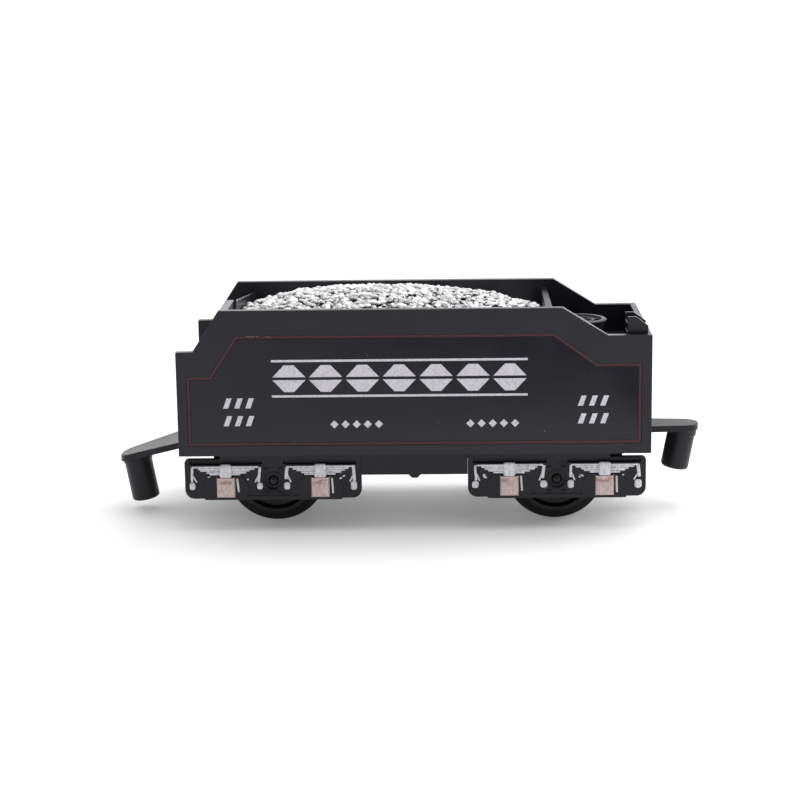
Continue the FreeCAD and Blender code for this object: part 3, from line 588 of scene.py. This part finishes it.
def make_scuffs():
    """Short pale scratches along the front of the groove's upper run, on the left side only.

    Each mark is a flat sliver: distance from the front, height, half length and lean."""
    half_deep, half_high = 0.03, 0.09
    marks = (
        (17.9, 48.85, 0.55, 0.1),
        (18.9, 48.8, 0.35, -0.1),
        (20.0, 48.85, 0.3, -0.35),
        (22.3, 48.75, 0.4, 0.1),
        (23.1, 48.65, 0.3, 0.35),
    )
    slivers = [
        leaning_block((FRONT + x, -SIDE_Y, z), (half_long, half_deep, half_high), lean)
        for x, z, half_long, lean in marks
    ]
    piece("scratches", *joined(slivers), "tender", "body_plastic", SCUFFED_PLASTIC)


def make_body():
    """The moulding and its ladder with softened edges, groove paint, print, scratches and filler."""
    softened("body_shell", "body_moulding", 0.22, BODY_PLASTIC)
    softened("rear_ladder", "ladder_moulding", 0.16, BODY_PLASTIC)
    for side in SIDES:
        make_red_line(side)
        make_print(side)
    make_scuffs()
    make_hatch()


def make_hatch():
    """Filler: a neck, a wider lid with a rim and an inner ring, six spokes and a hub.

    The profiles are (height, radius) turned about Y like the rest, and then stood upright."""
    low, high = box_mm("filler_hatch")
    centre, deck = (low + high) / 2, low[2]
    radius, top = (high[0] - low[0]) / 2, high[2] - low[2]
    inside, under, sunk = radius - 1.5, top - 0.9, top - 0.7
    rim = [
        (under, inside),
        (under, radius),
        (top - 0.2, radius),
        (top, radius - 0.35),
        (top, inside + 0.3),
        (sunk, inside),
    ]
    inner = [(sunk - 0.2, 3.0), (sunk - 0.2, 4.0), (top - 0.25, 3.9), (top - 0.12, 3.6), (top - 0.25, 3.2)]
    neck = [(0, 0.01), (0, radius - 0.6), (under + 0.05, radius - 0.6), (sunk, inside + 0.1), (sunk, 0.01)]
    hub = [(sunk - 0.2, 0.01), (sunk - 0.2, 1.6), (top - 0.3, 1.5), (top - 0.1, 1.1), (top - 0.05, 0.01)]
    parts = [turned_ring(soft_corners(ring, 0.12)) for ring in (rim, inner)]
    parts += [turned(soft_corners(solid, 0.1, closed=False)) for solid in (neck, hub)]
    spokes, first_turn = 6, 0.2
    for k in range(spokes):
        turn = np.array(Matrix.Rotation(k * 2 * math.pi / spokes + first_turn, 3, "Y"))
        points, faces = rounded_block((3.4, top - 0.55, 0), (1.9, 0.28, 0.30), 0.12)
        parts.append((points @ turn.T, faces))
    points, faces = joined(parts)
    upright = np.stack([points[:, 0], -points[:, 2], points[:, 1]], 1)
    points = upright + np.array([centre[0], centre[1], deck])
    piece("hatch_lid", points, faces, "tender", "body_plastic", BODY_PLASTIC, replaces=["filler_hatch"])


# ---------------------------------------------------------------- coal


def heap_height(x, y):
    """Middle height of the lumps: the crest's, less a power of the distance along and a parabola across.

    It is 56.4 - fall (s / reach)^power - 4.7 (y / 21.6)^2 millimetres, s being the distance from the crest;
    fall, reach and power have one value ahead of the crest and one behind it."""
    crest_x, crest_z = FRONT + 47.0, 56.4
    ahead = x < crest_x
    fall = np.where(ahead, 5.4, 5.9)
    reach = np.where(ahead, 34.1, 42.4)
    power = np.where(ahead, 2.5, 2.6)
    return crest_z - fall * (np.abs(x - crest_x) / reach) ** power - 4.7 * (y / 21.6) ** 2


def coal_area():
    """The bunker's inside as low and high (x, y)."""
    low, high = box_mm("coal_load")
    return low[:2], high[:2]


def make_coal_bed():
    """Closed bed under the lumps: the heap's height less 0.45 mm plus small waves, and walls to the floor.

    The waves are 0.18 sin(3.1 x + 1.4 sin(2.3 y)) cos(3.7 y + sin(1.9 x)) millimetres."""
    low, high = coal_area()
    floor = box_mm("coal_load")[0][2]
    columns, rows = 150, 84
    x = np.linspace(low[0], high[0], columns)
    y = np.linspace(low[1], high[1], rows)
    gx, gy = np.meshgrid(x, y)
    waves = 0.18 * np.sin(gx * 3.1 + np.sin(gy * 2.3) * 1.4) * np.cos(gy * 3.7 + np.sin(gx * 1.9))
    gz = heap_height(gx, gy) - 0.45 + waves
    top = np.stack([gx, gy, gz], 2).reshape(-1, 3)
    edge = grid_edge(rows, columns)
    skirt = top[edge].copy()
    skirt[:, 2] = floor
    count, start = len(edge), len(top)
    around = np.arange(count)
    after = (around + 1) % count
    walls = np.stack([edge[around], start + around, start + after, edge[after]], 1).tolist()
    base = [list(range(start + count - 1, start - 1, -1))]
    faces = grid_faces(rows, columns, close_columns=False) + walls + base
    points = np.concatenate([top, skirt])
    bed = piece("coal_bed", points, faces, "tender", "coal_silver", COAL, sharp=50, replaces=["coal_load"])
    # The bed's low tint makes it black all over: painted shade in the gaps between the lumps.
    tint_lumps(bed, np.full(len(points), -1.5))


def tint_lumps(made, tints):
    """Stores how pale the silver is at each point; a low number is black, which on the bed between the lumps
    is painted shade.
    """
    tint = made.data.attributes.new("lump_tint", "FLOAT", "POINT")
    tint.data.foreach_set("value", tints.astype(np.float32))


def lump_shape():
    """Points and triangles of a ball with 42 points, the start of every lump."""
    work = bmesh.new()
    bmesh.ops.create_icosphere(work, subdivisions=2, radius=1.0)
    points = np.array([v.co for v in work.verts])
    faces = np.array([[v.index for v in f.verts] for f in work.faces])
    work.free()
    return points, faces


def lump_spots(rng, x_from, x_to):
    """Places and sizes of the lumps on a jittered grid, inside the walls and clear of the bare ends."""
    low, high = coal_area()
    pitch_x, pitch_y, jitter = 1.46, 1.32, 0.55
    x = np.arange(x_from + pitch_x / 2, x_to, pitch_x)
    y = np.arange(low[1] + 0.75, high[1] - 0.7, pitch_y)
    gx, gy = np.meshgrid(x, y)
    gx = gx + (np.arange(len(y)) % 2)[:, None] * pitch_x / 2
    spots = np.stack([gx.ravel(), gy.ravel()], 1)
    spots += rng.uniform(-jitter, jitter, spots.shape)
    count = len(spots)
    size = rng.uniform(0.66, 1.16, count) * np.where(rng.random(count) < 0.08, 1.30, 1.0)
    across = (spots[:, 1] - low[1]) / (high[1] - low[1])
    covered = (spots[:, 0] > low[0] + 0.5 + 3.0 * across) & (spots[:, 0] < high[0] - 1.2)
    spots, size = spots[covered], size[covered]
    return np.clip(spots, low + size[:, None], high - size[:, None]), size


def random_turns(rng, count):
    """Rotation matrices of random unit quaternions (w, a, b, c)."""
    q = rng.normal(size=(count, 4))
    q /= np.linalg.norm(q, axis=1, keepdims=True)
    w, a, b, c = q.T
    rows = [
        [1 - 2 * (b * b + c * c), 2 * (a * b - c * w), 2 * (a * c + b * w)],
        [2 * (a * b + c * w), 1 - 2 * (a * a + c * c), 2 * (b * c - a * w)],
        [2 * (a * c - b * w), 2 * (b * c + a * w), 1 - 2 * (a * a + b * b)],
    ]
    return np.stack([np.stack(row, 1) for row in rows], 1)


def make_coal_lumps(name, x_from, x_to, seed):
    """Lumps over the heap: balls stretched, cut flat by random planes, turned at random and squashed.

    A cut at distance d along a unit direction n moves each point v with v.n > d back by (v.n - d) n."""
    rng = np.random.default_rng(seed)
    low, high = coal_area()
    spots, size = lump_spots(rng, x_from, x_to)
    count = len(spots)
    ball, triangles = lump_shape()
    v = ball[None] * rng.uniform(0.75, 1.25, (count, 1, 3))
    cuts, squash = 6, 0.72
    for _ in range(cuts):
        n = rng.normal(size=(count, 1, 3))
        n /= np.linalg.norm(n, axis=2, keepdims=True)
        d = rng.uniform(0.52, 0.86, (count, 1))
        over = np.clip((v * n).sum(2) - d, 0, None)
        v = v - over[..., None] * n
    v = np.einsum("nij,nkj->nki", random_turns(rng, count), v)
    v = v * size[:, None, None] * np.array([1, 1, squash])
    height = heap_height(spots[:, 0], spots[:, 1]) + rng.uniform(-0.65, 0.25, count)
    v = v + np.stack([spots[:, 0], spots[:, 1], height], 1)[:, None]
    points = v.reshape(-1, 3)
    points[:, :2] = np.clip(points[:, :2], low, high)
    faces = (triangles[None] + np.arange(count)[:, None, None] * len(ball)).reshape(-1, 3)
    lumps = piece(name, points, faces.tolist(), "tender", "coal_silver", COAL, sharp=28)
    tint_lumps(lumps, np.repeat(rng.uniform(-0.25, 1.0, count), len(ball)))


def make_coal_bank():
    """Bare front end of the insert: a closed section of six corners carried across the bunker.

    Its ridge is low on the left, jumps up near the middle and runs down to the right, with a wave of
    0.12 sin(1.7 y) millimetres."""
    low, high = coal_area()
    steps = 40
    t = np.linspace(0, 1, steps)
    y = low[1] + (high[1] - low[1]) * t
    jump_from, jump_to, lowest = -8.0, -6.5, 50.0
    ridge_z = np.interp(y, [low[1], jump_from, jump_to, high[1]], [lowest, lowest, 54.8, 52.6])
    ridge_z = ridge_z + 0.12 * np.sin(y * 1.7)
    ridge_x = low[0] + 0.25 + 2.4 * np.clip((y - jump_to) / 28, 0, 1)
    foot_x = ridge_x + 0.45 + 0.3 * t
    floor, foot_z = np.full(steps, 46.0), np.full(steps, lowest)
    corners = [
        (ridge_x - 0.25, floor),
        (ridge_x - 0.25, ridge_z - 0.1),
        (ridge_x, ridge_z),
        (ridge_x + 0.2, ridge_z - 0.15),
        (foot_x, foot_z),
        (foot_x, floor),
    ]
    grid = np.stack([np.stack([x, y, z], 1) for x, z in corners], 1)
    columns = len(corners)
    ends = [tuple(range(columns)), tuple(range((steps - 1) * columns, steps * columns))[::-1]]
    faces = grid_faces(steps, columns) + ends
    piece("coal_front_bank", grid.reshape(-1, 3), faces, "tender", "body_plastic", BODY_PLASTIC)


def make_coal():
    """Bed, bare front bank and two halves of the lumps."""
    low, high = coal_area()
    middle = (low[0] + high[0]) / 2
    make_coal_bed()
    make_coal_bank()
    make_coal_lumps("coal_lumps_front", low[0], middle, seed=11)
    make_coal_lumps("coal_lumps_rear", middle, high[0], seed=23)


# ---------------------------------------------------------------- wheels and axles


def make_wheel(truck, side):
    """Wheel: tread, flange, sunken web and hub as one profile turned about the axle."""
    back, hollow, flange_front, web, face, hub = 11.2, 12.1, 12.5, 13.8, 15.4, 15.9
    profile = [
        (back, 0.6),
        (back, 2.8),
        (hollow, 3.1),
        (hollow, 8.0),
        (back, 8.4),
        (back, 11.9),
        (back + 0.45, 12.5),
        (back + 0.85, 12.5),
        (flange_front, 10.7),
        (flange_front + 0.5, 10.1),
        (face, 9.8),
        (face, 8.75),
        (web, 8.5),
        (web, 3.1),
        (hub, 2.7),
        (hub, 0.6),
    ]
    points, faces = turned(soft_corners(profile, 0.28, closed=False), steps=96)
    centre = axle_centre(truck) * np.array([1, 0, 1])
    points, faces = mirrored(points, faces, -SIDES[side])
    node, body = f"wheel_{truck}_{side}", f"{truck}_wheelset"
    piece(f"{node}_turned", points + centre, faces, body, "wheel_plastic", WHEEL_PLASTIC, replaces=[node])


def make_axle(truck):
    """Axle: a straight rod whose ends are quarter ellipses 0.6 mm deep, turned about its middle."""
    node, body = f"{truck}_axle", f"{truck}_wheelset"
    low, high = box_mm(node)
    half, radius, deep = high[1], (high[2] - low[2]) / 2, 0.6
    t = np.linspace(np.pi / 2, 0, 7)[:-1]
    dome = np.stack([half - deep + deep * np.cos(t) - 0.001, radius * np.sin(t)], 1)
    dome = np.concatenate([dome, [(half, 0.02)]])
    profile = np.concatenate([dome[::-1] * np.array([-1, 1]), dome])
    points, faces = turned(profile, steps=40)
    points = points + axle_centre(truck)
    piece(f"{node}_rod", points, faces, body, "axle_steel", AXLE_STEEL, replaces=[node])


# ---------------------------------------------------------------- truck sides


PAINT_SEEDS = {("front", "left"): 54, ("front", "right"): 55, ("rear", "left"): 44, ("rear", "right"): 45}


def spring_leaves(box_x, rng):
    """Five leaves on each side of a buckle: straight blocks that start at the buckle, shorter downwards."""
    start, half_thick, sunk = 1.0, 0.218, 0.05
    parts = []
    for k, half_long in enumerate((8.3, 7.0, 5.9, 4.9, 3.8)):
        z = 16.30 - 0.47 * k
        proud = 0.82 - 0.05 * k
        for end in (-1, 1):
            tip = half_long + rng.uniform(-0.3, 0.3)
            x, y = box_x + end * (tip + start) / 2, sunk - FRAME_FACE - proud / 2
            middle = (x, y, z + rng.uniform(-0.04, 0.04))
            parts.append(rounded_block(middle, ((tip - start) / 2, proud / 2, half_thick), 0.12))
    return parts


def spring_hanger(x, end, rng):
    """Rod that hangs from a spring's end, its foot, and the curl of paint beside it."""
    top = 16.3
    lean = rng.uniform(-0.12, 0.12)
    rod_high, rod_wide = rng.uniform(1.55, 2.0), rng.uniform(0.30, 0.48)
    rod = leaning_block((x, -FRAME_FACE - 0.35, top - rod_high), (rod_wide, 0.35, rod_high), lean)
    foot_wide, foot_high = rng.uniform(0.72, 0.98), rng.uniform(0.85, 1.15)
    foot_place = (x + lean, -FRAME_FACE - 0.45, 11.45)
    foot = rounded_block(foot_place, (foot_wide, 0.45, foot_high), foot_wide * 0.8, steps=4)
    curl_place = (x - end * 0.62, -FRAME_FACE - 0.25, 13.25)
    curl = leaning_block(curl_place, (0.22, 0.25, 1.0), end * rng.uniform(0.3, 0.7))
    return [rod, foot, curl]


def paint_drips(box_x, rng):
    """A strip of silver beside an axle box and three loose drips."""
    strip = (box_x + 2.95, -FRAME_FACE - 0.30, 11.5 + rng.uniform(-0.2, 0.3))
    parts = [leaning_block(strip, (0.27, 0.30, rng.uniform(1.6, 2.3)), rng.uniform(-0.10, 0.02))]
    for _ in range(3):
        x = box_x + rng.choice((-1, 1)) * rng.uniform(3.0, 6.2)
        drip = (x, -FRAME_FACE - 0.12, rng.uniform(12.9, 13.9))
        parts.append(leaning_block(drip, (rng.uniform(0.2, 0.5), 0.14, 0.2), rng.uniform(-0.5, 0.5)))
    return parts


def make_leaf_springs(truck, side):
    """Silver springs over the axle boxes: leaves, a buckle in their middle, hangers, and drips of paint."""
    rng = np.random.default_rng(PAINT_SEEDS[truck, side])
    parts = []
    for box_x in box_places(truck):
        parts += spring_leaves(box_x, rng)
        parts.append(rounded_block((box_x, -FRAME_FACE - 0.55, 15.25), (1.50, 0.65, 1.72), 0.62, steps=5))
        for end in (-1, 1):
            parts += spring_hanger(box_x + end * 8.25, end, rng)
        parts += paint_drips(box_x, rng)
    part = mirrored(*joined(parts), SIDES[side])
    piece(f"silver_springs_{truck}_{side}", *part, "tender", "silver_paint", SILVER)


def make_axle_boxes(truck, side):
    """Copper-painted axle boxes with a hollow under the lid, as a height map over the box's front.

    With u and w from -1 to 1 across and up the front, the front stands out by
    0.58 + s (0.42 + 0.2 (1 - u^2) - 0.32 exp(-(u / 0.6)^2 - ((w - 0.6) / 0.28)^2)) millimetres,
    where s rises from 0 at the edge to 1 inside along a quarter circle."""
    half_wide, half_high, middle_z, sunk = 2.28, 2.55, 11.15, 0.3
    count = 21
    u, w = np.meshgrid(np.linspace(-1, 1, count), np.linspace(-1, 1, count))
    ramp = np.minimum((1 - np.abs(u)) / 0.2, (1 - np.abs(w)) / 0.18).clip(0, 1)
    s = np.sqrt(1 - (1 - ramp) ** 2)
    hollow = np.exp(-((u / 0.6) ** 2) - ((w - 0.60) / 0.28) ** 2)
    proud = 0.58 + s * (0.42 + 0.20 * (1 - u**2) - 0.32 * hollow)
    quads = grid_faces(count, count, close_columns=False)
    edge = grid_edge(count, count)
    after = np.roll(edge, -1)
    size = count * count
    walls = np.stack([edge, size + edge, size + after, after], 1).tolist()
    turned_back = [[i + size for i in reversed(quad)] for quad in quads]
    parts = []
    for box_x in box_places(truck):
        front = np.stack([box_x + half_wide * u, -FRAME_FACE - proud, middle_z + half_high * w], 2)
        front = front.reshape(-1, 3)
        back = front.copy()
        back[:, 1] = sunk - FRAME_FACE
        parts.append((np.concatenate([front, back]), quads + walls + turned_back))
    part = mirrored(*joined(parts), SIDES[side])
    piece(f"copper_boxes_{truck}_{side}", *part, "tender", "copper_paint", COPPER, sharp=40)


def make_frame_relief(truck, side):
    """Black relief on the truck side: pedestal jaws, lower lip, bolt heads, a bead round the axle end."""
    face = -FRAME_FACE
    centre = axle_centre(truck)
    bottom, waist, top = 7.95, 12.0, 13.9
    parts = []
    for box_x in box_places(truck):
        jaw = [
            (box_x - 5.4, bottom),
            (box_x + 5.4, bottom),
            (box_x + 5.4, waist),
            (box_x + 3.9, top),
            (box_x - 3.9, top),
            (box_x - 5.4, waist),
        ]
        parts.append(plate(soft_corners(jaw, 0.5), face - 0.32, face + 0.3))
    lip = bar(centre[0], 8.4, 16.0, 0.5)
    parts.append(plate(soft_corners(lip, 0.2), face - 0.22, face + 0.6))
    for x in (-1.75, 1.75):
        for z in (-3.0, 3.0):
            middle = (centre[0] + x, face - 0.1, centre[2] + z)
            parts.append(rounded_block(middle, (0.55, 0.30, 0.42), 0.22))
    t = np.linspace(0, 2 * np.pi, 8, endpoint=False)
    bead, ring_radius = 0.16, 2.35
    section = bead * np.stack([np.cos(t), np.sin(t)], 1) + np.array([face, ring_radius])
    points, faces = turned_ring(section, steps=40)
    parts.append((points + centre * np.array([1, 0, 1]), faces))
    part = mirrored(*joined(parts), SIDES[side])
    piece(f"frame_relief_{truck}_{side}", *part, "tender", "frame_plastic", FRAME_PLASTIC)


def make_truck(truck):
    """Both sides of a truck, its wheels and its axle."""
    for side in SIDES:
        node = f"truck_frame_{truck}_{side}"
        softened(node, f"{node}_moulding", 0.15, FRAME_PLASTIC)
        make_frame_relief(truck, side)
        make_leaf_springs(truck, side)
        make_axle_boxes(truck, side)
        make_wheel(truck, side)
    make_axle(truck)


# ---------------------------------------------------------------- underframe


def make_screw(end):
    """Pan head seen from below: a polar grid on a dome, with a cross sunk into it, and a plain shank.

    At r from the middle the dome is 1.6 sqrt(1 - (0.86 r / radius)^2) mm high."""
    node = f"{end}_body_screw"
    low, high = box_mm(node)
    centre, radius = (low + high) / 2, (high[0] - low[0]) / 2
    head, shank_radius = 1.6, 1.1
    seat = low[2] + head
    rings, steps = 15, 72
    r = np.linspace(0.02, 1, rings) * radius
    turn = np.linspace(0, 2 * np.pi, steps, endpoint=False)
    gr, gt = np.meshgrid(r, turn, indexing="ij")
    x, y = gr * np.cos(gt), gr * np.sin(gt)
    half_slot, slot_long, slot_deep = 0.38, 1.5, 0.75
    from_arm = np.minimum(np.abs(x), np.abs(y))
    slot = np.clip((half_slot - from_arm) / 0.12, 0, 1) * np.clip((slot_long - gr) / 0.35, 0, 1)
    height = head * np.sqrt(1 - (gr / radius * 0.86) ** 2) - slot_deep * slot
    rows = [np.stack([x, y, seat - height], 2).reshape(-1, 3)]
    shank = [(radius, seat), (shank_radius, seat), (shank_radius, high[2])]
    rows += [np.stack([q * np.cos(turn), q * np.sin(turn), np.full(steps, z)], 1) for q, z in shank]
    count = rings + len(shank)
    faces = [tuple(reversed(face)) for face in grid_faces(count, steps)]
    faces += [tuple(range(steps)), tuple(range(count * steps - 1, (count - 1) * steps - 1, -1))]
    points = np.concatenate(rows) + centre * np.array([1, 1, 0])
    piece(f"{end}_pan_screw", points, faces, "tender", "screw_steel", SCREW_STEEL, replaces=[node])


def make_underframe():
    """Chassis, drawbars, bushes and screws."""
    softened("chassis", "chassis_moulding", 0.18, FRAME_PLASTIC)
    for end in TRUCKS:
        softened(f"{end}_drawbar", f"{end}_drawbar_moulding", 0.20, FRAME_PLASTIC)
        dress(f"{end}_pivot_bush", SCREW_STEEL)
        make_screw(end)


# ---------------------------------------------------------------- stage


def make_floor():
    """Wide flat card under the wheels; it ends a little way behind, where the tent is as white."""
    half, behind = 3000.0, 600.0
    corners = [(-half, -half), (half, -half), (half, behind), (-half, behind)]
    mesh = bpy.data.meshes.new("floor")
    mesh.from_pydata([(x * MM, y * MM, 0) for x, y in corners], [], [(0, 1, 2, 3)])
    mesh.materials.append(floor_card())
    floor = bpy.data.objects.new("floor", mesh)
    bpy.context.scene.collection.objects.link(floor)


def make_light(name, place, target, size, power):
    """Square soft light at a place, aimed at a target; both in millimetres, power in watts."""
    data = bpy.data.lights.new(name, "AREA")
    data.shape = "SQUARE"
    data.size = size * MM
    data.energy = power
    lamp = bpy.data.objects.new(name, data)
    bpy.context.scene.collection.objects.link(lamp)
    away = Vector(place) - Vector(target)
    lamp.location = Vector(place) * MM
    lamp.rotation_mode = "QUATERNION"
    lamp.rotation_quaternion = away.to_track_quat("Z", "Y")


# Strengths of the tent: on its open side, elsewhere, and what the glow adds along the horizon behind.
OPEN_SIDE, TENT, HORIZON_GLOW = 0.28, 1.07, 1.6


def make_tent():
    """White tent, darker on its open side, with a glow low down behind: behind * horizon + tent."""
    world = bpy.data.worlds.new("studio")
    bpy.context.scene.world = world
    world.use_nodes = True
    nodes, links = world.node_tree.nodes, world.node_tree.links
    direction = nodes.new("ShaderNodeTexCoord").outputs["Generated"]
    split = nodes.new("ShaderNodeSeparateXYZ")
    links.new(direction, split.inputs[0])
    strength = nodes.new("ShaderNodeMath")
    strength.operation = "MULTIPLY_ADD"
    behind = ("Y", 0.5, 0.9, 0.0, 1.0)
    horizon = ("Z", 0.03, 0.17, HORIZON_GLOW, 0.0)
    tent = ("Y", -0.9, 0.35, OPEN_SIDE, TENT)
    for term, (axis, start, end, first, last) in zip(strength.inputs, (behind, horizon, tent)):
        ramp = nodes.new("ShaderNodeMapRange")
        ramp.interpolation_type = "SMOOTHSTEP"
        for socket, amount in {"From Min": start, "From Max": end, "To Min": first, "To Max": last}.items():
            ramp.inputs[socket].default_value = amount
        links.new(split.outputs[axis], ramp.inputs["Value"])
        links.new(ramp.outputs[0], term)
    background = nodes["Background"]
    links.new(strength.outputs[0], background.inputs["Strength"])
    background.inputs["Color"].default_value = (1.0, 1.0, 1.0, 1)


def make_lights():
    """The tent, a broad light overhead and two weaker ones to the right."""
    make_tent()
    make_light("overhead", (120, 60, 520), (0, 0, 30), 420, 1.2)
    make_light("right_rear", (420, 120, 260), (20, 0, 30), 200, 0.6)
    make_light("right_front", (330, -420, 260), (0, 0, 30), 260, 0.3)
    bpy.context.scene.view_settings.view_transform = "Standard"


def make_camera():
    """Long lens on the left side, a little to the rear of the middle, looking down about twelve degrees."""
    data = bpy.data.cameras.new("camera")
    data.lens = 91.6
    data.sensor_width = 36.0
    data.clip_start, data.clip_end = 0.01, 20.0
    camera = bpy.data.objects.new("camera", data)
    bpy.context.scene.collection.objects.link(camera)
    place = Matrix.Translation(Vector((12.23, -505.4, 135.9)) * MM)
    yaw, pitch, roll = (math.radians(angle) for angle in (1.61, -12.07, -0.81))
    for angle, axis in ((yaw, "Z"), (math.pi / 2 + pitch, "X"), (roll, "Z")):
        place = place @ Matrix.Rotation(angle, 4, axis)
    camera.matrix_world = place
    bpy.context.scene.camera = camera


make_camera()
make_lights()
make_floor()
make_body()
make_coal()
for truck_name in TRUCKS:
    make_truck(truck_name)
make_underframe()
